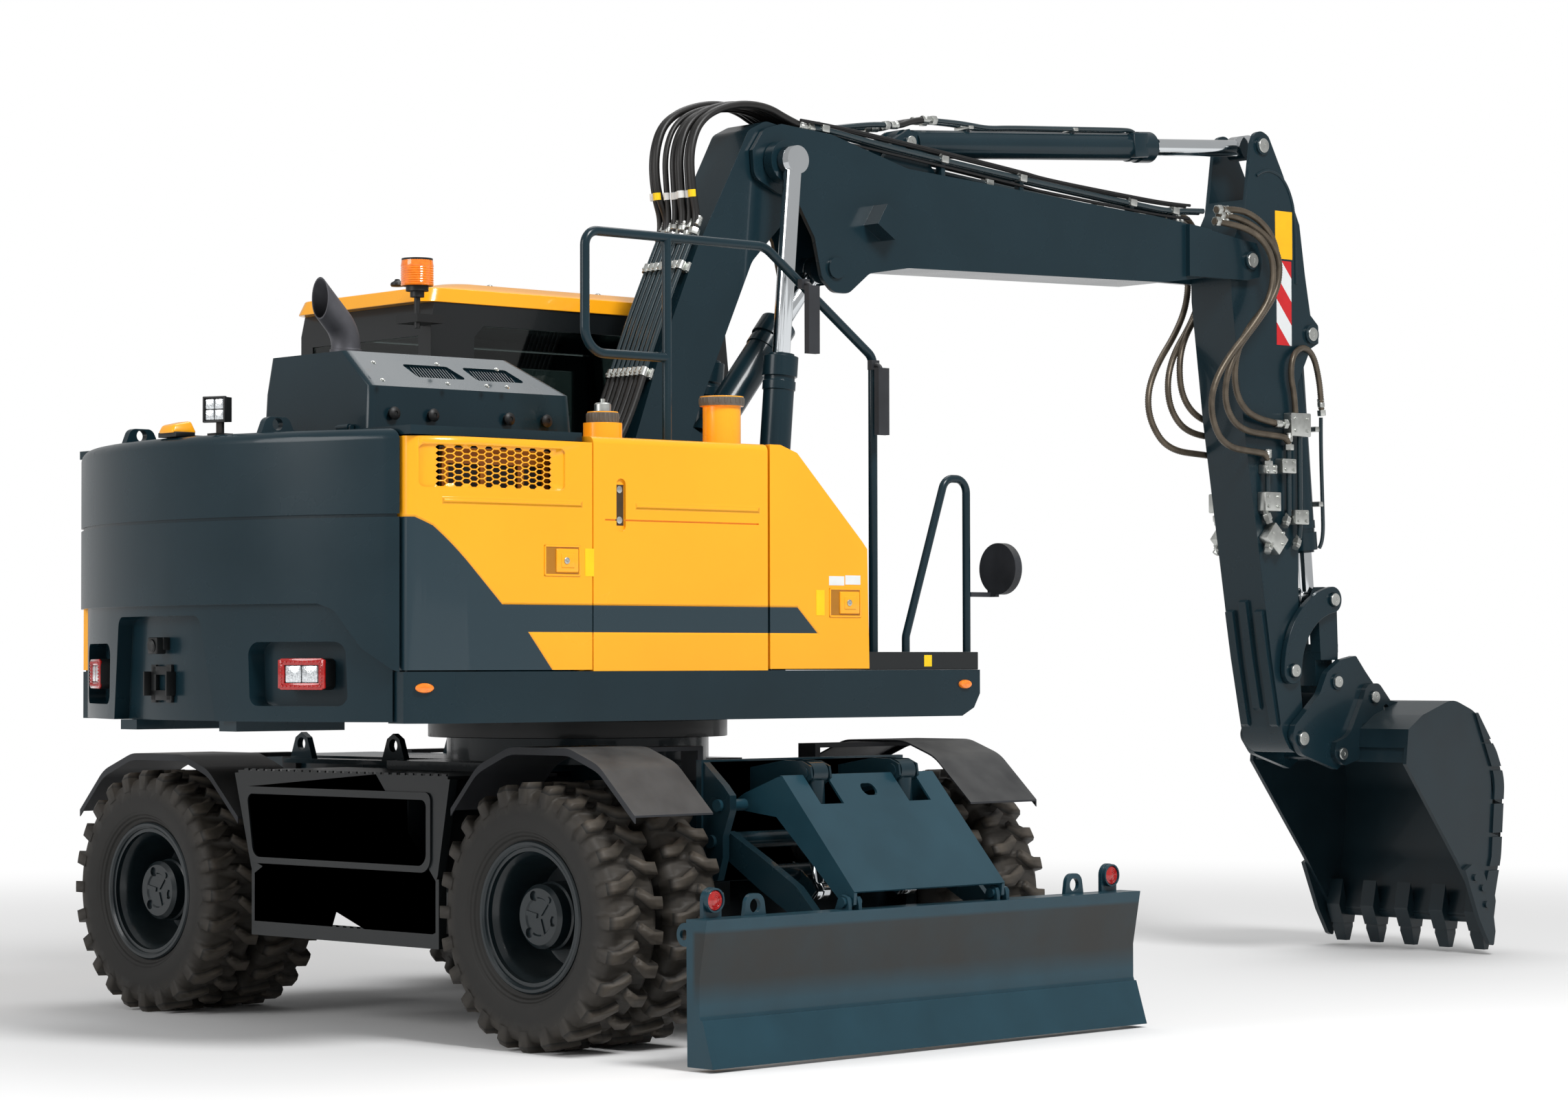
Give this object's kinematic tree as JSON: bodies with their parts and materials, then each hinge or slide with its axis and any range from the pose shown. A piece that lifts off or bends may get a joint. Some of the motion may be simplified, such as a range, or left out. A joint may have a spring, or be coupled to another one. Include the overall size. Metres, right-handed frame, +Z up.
{
  "type": "wheeled excavator",
  "caption": "Wheeled excavator on twin tyres with a dozer blade, a turning upper structure with cab, an adjustable boom, and a bucket on a quick coupler.",
  "frame": {"origin": "middle of the whole machine's plan, on the ground, as it stands in its rest pose", "axes": "+X to the steered axle of the carrier, +Y to the carrier's left, +Z up; at rest the boom points along -Y"},
  "size_m": [4.164, 7.6976, 4.1498],
  "materials": {
    "teal_paint": "semi-gloss",
    "yellow_paint": "gloss",
    "black_paint": "semi-gloss",
    "rim_paint": "semi-gloss",
    "black_plastic": "moulded",
    "tyre": "worn",
    "cast_axle": "painted",
    "chrome": "polished",
    "glass": "tinted",
    "seat_fabric": "woven",
    "exhaust_steel": "heat dulled",
    "engine_block": "painted",
    "bucket_steel": "worn",
    "lamp_lens": "moulded"
  },
  "bodies": {
    "carrier": {"carrier_frame": "teal_paint", "slew_ring": "black_paint", "step_boxes": "black_paint", "mudguards": "black_plastic", "rear_axle": "cast_axle", "front_axle": "cast_axle", "driveline": "cast_axle"},
    "wheel_rear_left": {"wheel_rear_left": "rim_paint", "tyres_rear_left": "tyre"},
    "wheel_rear_right": {"wheel_rear_right": "rim_paint", "tyres_rear_right": "tyre"},
    "wheel_front_left": {"wheel_front_left": "rim_paint", "tyres_front_left": "tyre"},
    "wheel_front_right": {"wheel_front_right": "rim_paint", "tyres_front_right": "tyre"},
    "knuckle_left": {"knuckle_left": "cast_axle"},
    "knuckle_right": {"knuckle_right": "cast_axle"},
    "steering_rods": {"steering_rods": "chrome"},
    "tie_link_left": {"tie_link_left": "cast_axle"},
    "tie_link_right": {"tie_link_right": "cast_axle"},
    "blade_arms": {"blade_arms": "teal_paint"},
    "blade": {"blade": "teal_paint"},
    "blade_cover": {"blade_cover": "teal_paint"},
    "blade_cylinder_barrels": {"blade_cylinder_barrels": "teal_paint"},
    "blade_cylinder_rods": {"blade_cylinder_rods": "chrome"},
    "upper": {"upper_frame": "teal_paint", "counterweight": "teal_paint", "engine": "engine_block", "engine_deck": "teal_paint", "fuel_tank": "yellow_paint", "front_step_box": "black_paint", "cab_shell": "black_paint", "cab_glass": "glass", "cab_interior": "seat_fabric", "handrails": "teal_paint", "mirrors": "black_plastic", "exhaust": "exhaust_steel", "lamps": "lamp_lens", "cab_roof": "yellow_paint"},
    "cab_door": {"cab_door": "black_paint", "cab_door_glass": "glass"},
    "hood": {"hood": "teal_paint"},
    "door_rear_right": {"door_rear_right": "yellow_paint"},
    "door_front_right": {"door_front_right": "yellow_paint"},
    "door_rear_left": {"door_rear_left": "yellow_paint"},
    "boom_lower": {"boom_lower": "teal_paint"},
    "boom_upper": {"boom_upper": "teal_paint"},
    "arm": {"arm": "teal_paint"},
    "coupler_and_bucket": {"coupler": "teal_paint", "bucket": "bucket_steel"},
    "bucket_rocker": {"bucket_rocker": "teal_paint"},
    "bucket_link": {"bucket_link": "teal_paint"},
    "boom_cylinder_barrel": {"boom_cylinder_barrel": "teal_paint"},
    "boom_cylinder_rod": {"boom_cylinder_rod": "chrome"},
    "adjust_cylinder_barrel": {"adjust_cylinder_barrel": "teal_paint"},
    "adjust_cylinder_rod": {"adjust_cylinder_rod": "chrome"},
    "arm_cylinder_barrel": {"arm_cylinder_barrel": "teal_paint"},
    "arm_cylinder_rod": {"arm_cylinder_rod": "chrome"},
    "bucket_cylinder_barrel": {"bucket_cylinder_barrel": "teal_paint"},
    "bucket_cylinder_rod": {"bucket_cylinder_rod": "chrome"}
  },
  "joints": [
    {"name": "wheel_rear_left_spin", "type": "hinge", "parent": "carrier", "child": "wheel_rear_left", "pos_m": [-1.023, 2.687, 0.521], "axis": [0, 1, 0], "continuous": true},
    {"name": "wheel_rear_right_spin", "type": "hinge", "parent": "carrier", "child": "wheel_rear_right", "pos_m": [-1.023, 0.818, 0.521], "axis": [0, 1, 0], "continuous": true},
    {"name": "wheel_front_left_spin", "type": "hinge", "parent": "knuckle_left", "child": "wheel_front_left", "pos_m": [1.482, 2.687, 0.521], "axis": [0, 1, 0], "continuous": true},
    {"name": "wheel_front_right_spin", "type": "hinge", "parent": "knuckle_right", "child": "wheel_front_right", "pos_m": [1.482, 0.818, 0.521], "axis": [0, 1, 0], "continuous": true},
    {"name": "steer_left", "type": "hinge", "parent": "carrier", "child": "knuckle_left", "pos_m": [1.482, 2.5525, 0.521], "axis": [0, 0, 1], "range_deg": [-25, 25]},
    {"name": "steer_right", "type": "hinge", "parent": "carrier", "child": "knuckle_right", "pos_m": [1.482, 0.9525, 0.521], "axis": [0, 0, 1], "range_deg": [-25, 25]},
    {"name": "steering_rods_slide", "type": "slide", "parent": "carrier", "child": "steering_rods", "axis": [0, 1, 0], "range_m": [-0.075, 0.075]},
    {"name": "tie_link_left_turn", "type": "hinge", "parent": "steering_rods", "child": "tie_link_left", "pos_m": [1.658, 2.2145, 0.521], "axis": [0, 0, 1], "range_deg": [-25, 25]},
    {"name": "tie_link_right_turn", "type": "hinge", "parent": "steering_rods", "child": "tie_link_right", "pos_m": [1.658, 1.2905, 0.521], "axis": [0, 0, 1], "range_deg": [-25, 25]},
    {"name": "blade_lift", "type": "hinge", "parent": "carrier", "child": "blade_arms", "pos_m": [-1.38, 1.7525, 0.802], "axis": [0, 1, 0], "range_deg": [-7, 30]},
    {"name": "blade_cover_turn", "type": "hinge", "parent": "carrier", "child": "blade_cover", "pos_m": [-1.42, 1.7525, 0.944], "axis": [0, 1, 0], "range_deg": [-7, 30]},
    {"name": "blade_level", "type": "hinge", "parent": "blade_arms", "child": "blade", "pos_m": [-1.95, 1.7525, 0.444], "axis": [0, 1, 0], "range_deg": [-30, 7]},
    {"name": "blade_cylinder_turn", "type": "hinge", "parent": "carrier", "child": "blade_cylinder_barrels", "pos_m": [-1.625, 1.7525, 1.068], "axis": [0, 1, 0], "range_deg": [-3.6, 13.6]},
    {"name": "blade_cylinder_slide", "type": "slide", "parent": "blade_cylinder_barrels", "child": "blade_cylinder_rods", "axis": [-0.0545, 0, -0.9985], "range_m": [-0.148, 0.036]},
    {"name": "swing", "type": "hinge", "parent": "carrier", "child": "upper", "pos_m": [0.04, 1.7525, 1.262], "axis": [0, 0, 1], "continuous": true},
    {"name": "cab_door_hinge", "type": "hinge", "parent": "upper", "child": "cab_door", "pos_m": [1.29011, 1.99463, 2.2], "axis": [0, 0, 1], "range_deg": [0, 90]},
    {"name": "door_rear_right_hinge", "type": "hinge", "parent": "upper", "child": "door_rear_right", "pos_m": [-0.99866, 3.54329, 1.9], "axis": [0, 0, -1], "range_deg": [0, 75]},
    {"name": "door_front_right_hinge", "type": "hinge", "parent": "upper", "child": "door_front_right", "pos_m": [-1.19379, 1.80993, 1.9], "axis": [0, 0, -1], "range_deg": [0, 80]},
    {"name": "door_rear_left_hinge", "type": "hinge", "parent": "upper", "child": "door_rear_left", "pos_m": [1.28916, 3.40336, 1.9], "axis": [0, 0, 1], "range_deg": [0, 75]},
    {"name": "hood_hinge", "type": "hinge", "parent": "upper", "child": "hood", "pos_m": [-0.28773, 3.43769, 2.416], "axis": [-0.9981, 0.061, 0], "range_deg": [0, 50]},
    {"name": "boom_lift", "type": "hinge", "parent": "upper", "child": "boom_lower", "pos_m": [-0.02447, 1.6813, 1.75], "axis": [0.9981, -0.061, 0], "range_deg": [-15, 35]},
    {"name": "boom_cylinder_turn", "type": "hinge", "parent": "upper", "child": "boom_cylinder_barrel", "pos_m": [-0.0672, 0.98261, 1.52], "axis": [0.9981, -0.061, 0], "range_deg": [-15.2, 34.8]},
    {"name": "boom_cylinder_slide", "type": "slide", "parent": "boom_cylinder_barrel", "child": "boom_cylinder_rod", "axis": [-0.0053, -0.086, 0.9963], "range_m": [-0.439, 0.189]},
    {"name": "boom_adjust", "type": "hinge", "parent": "boom_lower", "child": "boom_upper", "pos_m": [-0.0788, 0.79296, 3.717], "axis": [-0.9981, 0.061, 0], "range_deg": [-20, 25]},
    {"name": "adjust_cylinder_turn", "type": "hinge", "parent": "boom_lower", "child": "adjust_cylinder_barrel", "pos_m": [-0.05743, 1.14231, 2.42], "axis": [-0.9981, 0.061, 0], "range_deg": [-2.8, 2.3]},
    {"name": "adjust_cylinder_slide", "type": "slide", "parent": "adjust_cylinder_barrel", "child": "adjust_cylinder_rod", "axis": [-0.0385, -0.6291, 0.7764], "range_m": [-0.187, 0.233]},
    {"name": "arm_swing", "type": "hinge", "parent": "boom_upper", "child": "arm", "pos_m": [-0.26744, -2.29127, 3.49], "axis": [0.9981, -0.061, 0], "range_deg": [-48, 55]},
    {"name": "arm_cylinder_turn", "type": "hinge", "parent": "boom_upper", "child": "arm_cylinder_barrel", "pos_m": [-0.1313, -0.06543, 3.89], "axis": [0.9981, -0.061, 0], "range_deg": [-4.4, 5]},
    {"name": "arm_cylinder_slide", "type": "slide", "parent": "arm_cylinder_barrel", "child": "arm_cylinder_rod", "axis": [-0.0609, -0.995, 0.0788], "range_m": [-0.438, 0.501]},
    {"name": "bucket_curl", "type": "hinge", "parent": "arm", "child": "coupler_and_bucket", "pos_m": [-0.29003, -2.66058, 1.115], "axis": [0.9981, -0.061, 0], "range_deg": [-20, 110]},
    {"name": "bucket_rocker_turn", "type": "hinge", "parent": "arm", "child": "bucket_rocker", "pos_m": [-0.28661, -2.60469, 1.455], "axis": [0.9981, -0.061, 0], "range_deg": [-17, 91.4]},
    {"name": "bucket_link_turn", "type": "hinge", "parent": "bucket_rocker", "child": "bucket_link", "pos_m": [-0.30529, -2.91012, 1.813], "axis": [0.9981, -0.061, 0], "range_deg": [-73.4, 13.8]},
    {"name": "bucket_cylinder_turn", "type": "hinge", "parent": "arm", "child": "bucket_cylinder_barrel", "pos_m": [-0.29796, -2.79034, 3.153], "axis": [0.9981, -0.061, 0], "range_deg": [-2.9, 0.9]},
    {"name": "bucket_cylinder_slide", "type": "slide", "parent": "bucket_cylinder_barrel", "child": "bucket_cylinder_rod", "axis": [-0.0054, -0.089, -0.996], "range_m": [-0.118, 0.637]}
  ],
  "couplings": [
    {"joint": "steer_right", "follows": "steer_left", "ratio": 1},
    {"joint": "steering_rods_slide", "follows": "steer_left", "m_per_rad": 0.1664},
    {"joint": "tie_link_left_turn", "follows": "steer_left", "ratio": -0.60286},
    {"joint": "tie_link_right_turn", "follows": "steer_left", "ratio": -0.60286},
    {"joint": "blade_cover_turn", "follows": "blade_lift", "ratio": 1},
    {"joint": "blade_level", "follows": "blade_lift", "ratio": -1},
    {"joint": "blade_cylinder_turn", "follows": "blade_lift", "ratio": 0.43611},
    {"joint": "blade_cylinder_slide", "follows": "blade_lift", "m_per_rad": -0.27955},
    {"joint": "boom_cylinder_turn", "follows": "boom_lift", "ratio": 0.97915},
    {"joint": "boom_cylinder_slide", "follows": "boom_lift", "m_per_rad": -0.71566},
    {"joint": "adjust_cylinder_turn", "follows": "boom_adjust", "ratio": -0.091393},
    {"joint": "adjust_cylinder_slide", "follows": "boom_adjust", "m_per_rad": 0.5288},
    {"joint": "arm_cylinder_turn", "follows": "arm_swing", "ratio": 0.081763},
    {"joint": "arm_cylinder_slide", "follows": "arm_swing", "m_per_rad": 0.52008},
    {"joint": "bucket_rocker_turn", "follows": "bucket_curl", "ratio": 0.82649},
    {"joint": "bucket_link_turn", "follows": "bucket_curl", "ratio": -0.66264},
    {"joint": "bucket_cylinder_turn", "follows": "bucket_curl", "ratio": -0.022024},
    {"joint": "bucket_cylinder_slide", "follows": "bucket_curl", "m_per_rad": 0.33091}
  ]
}
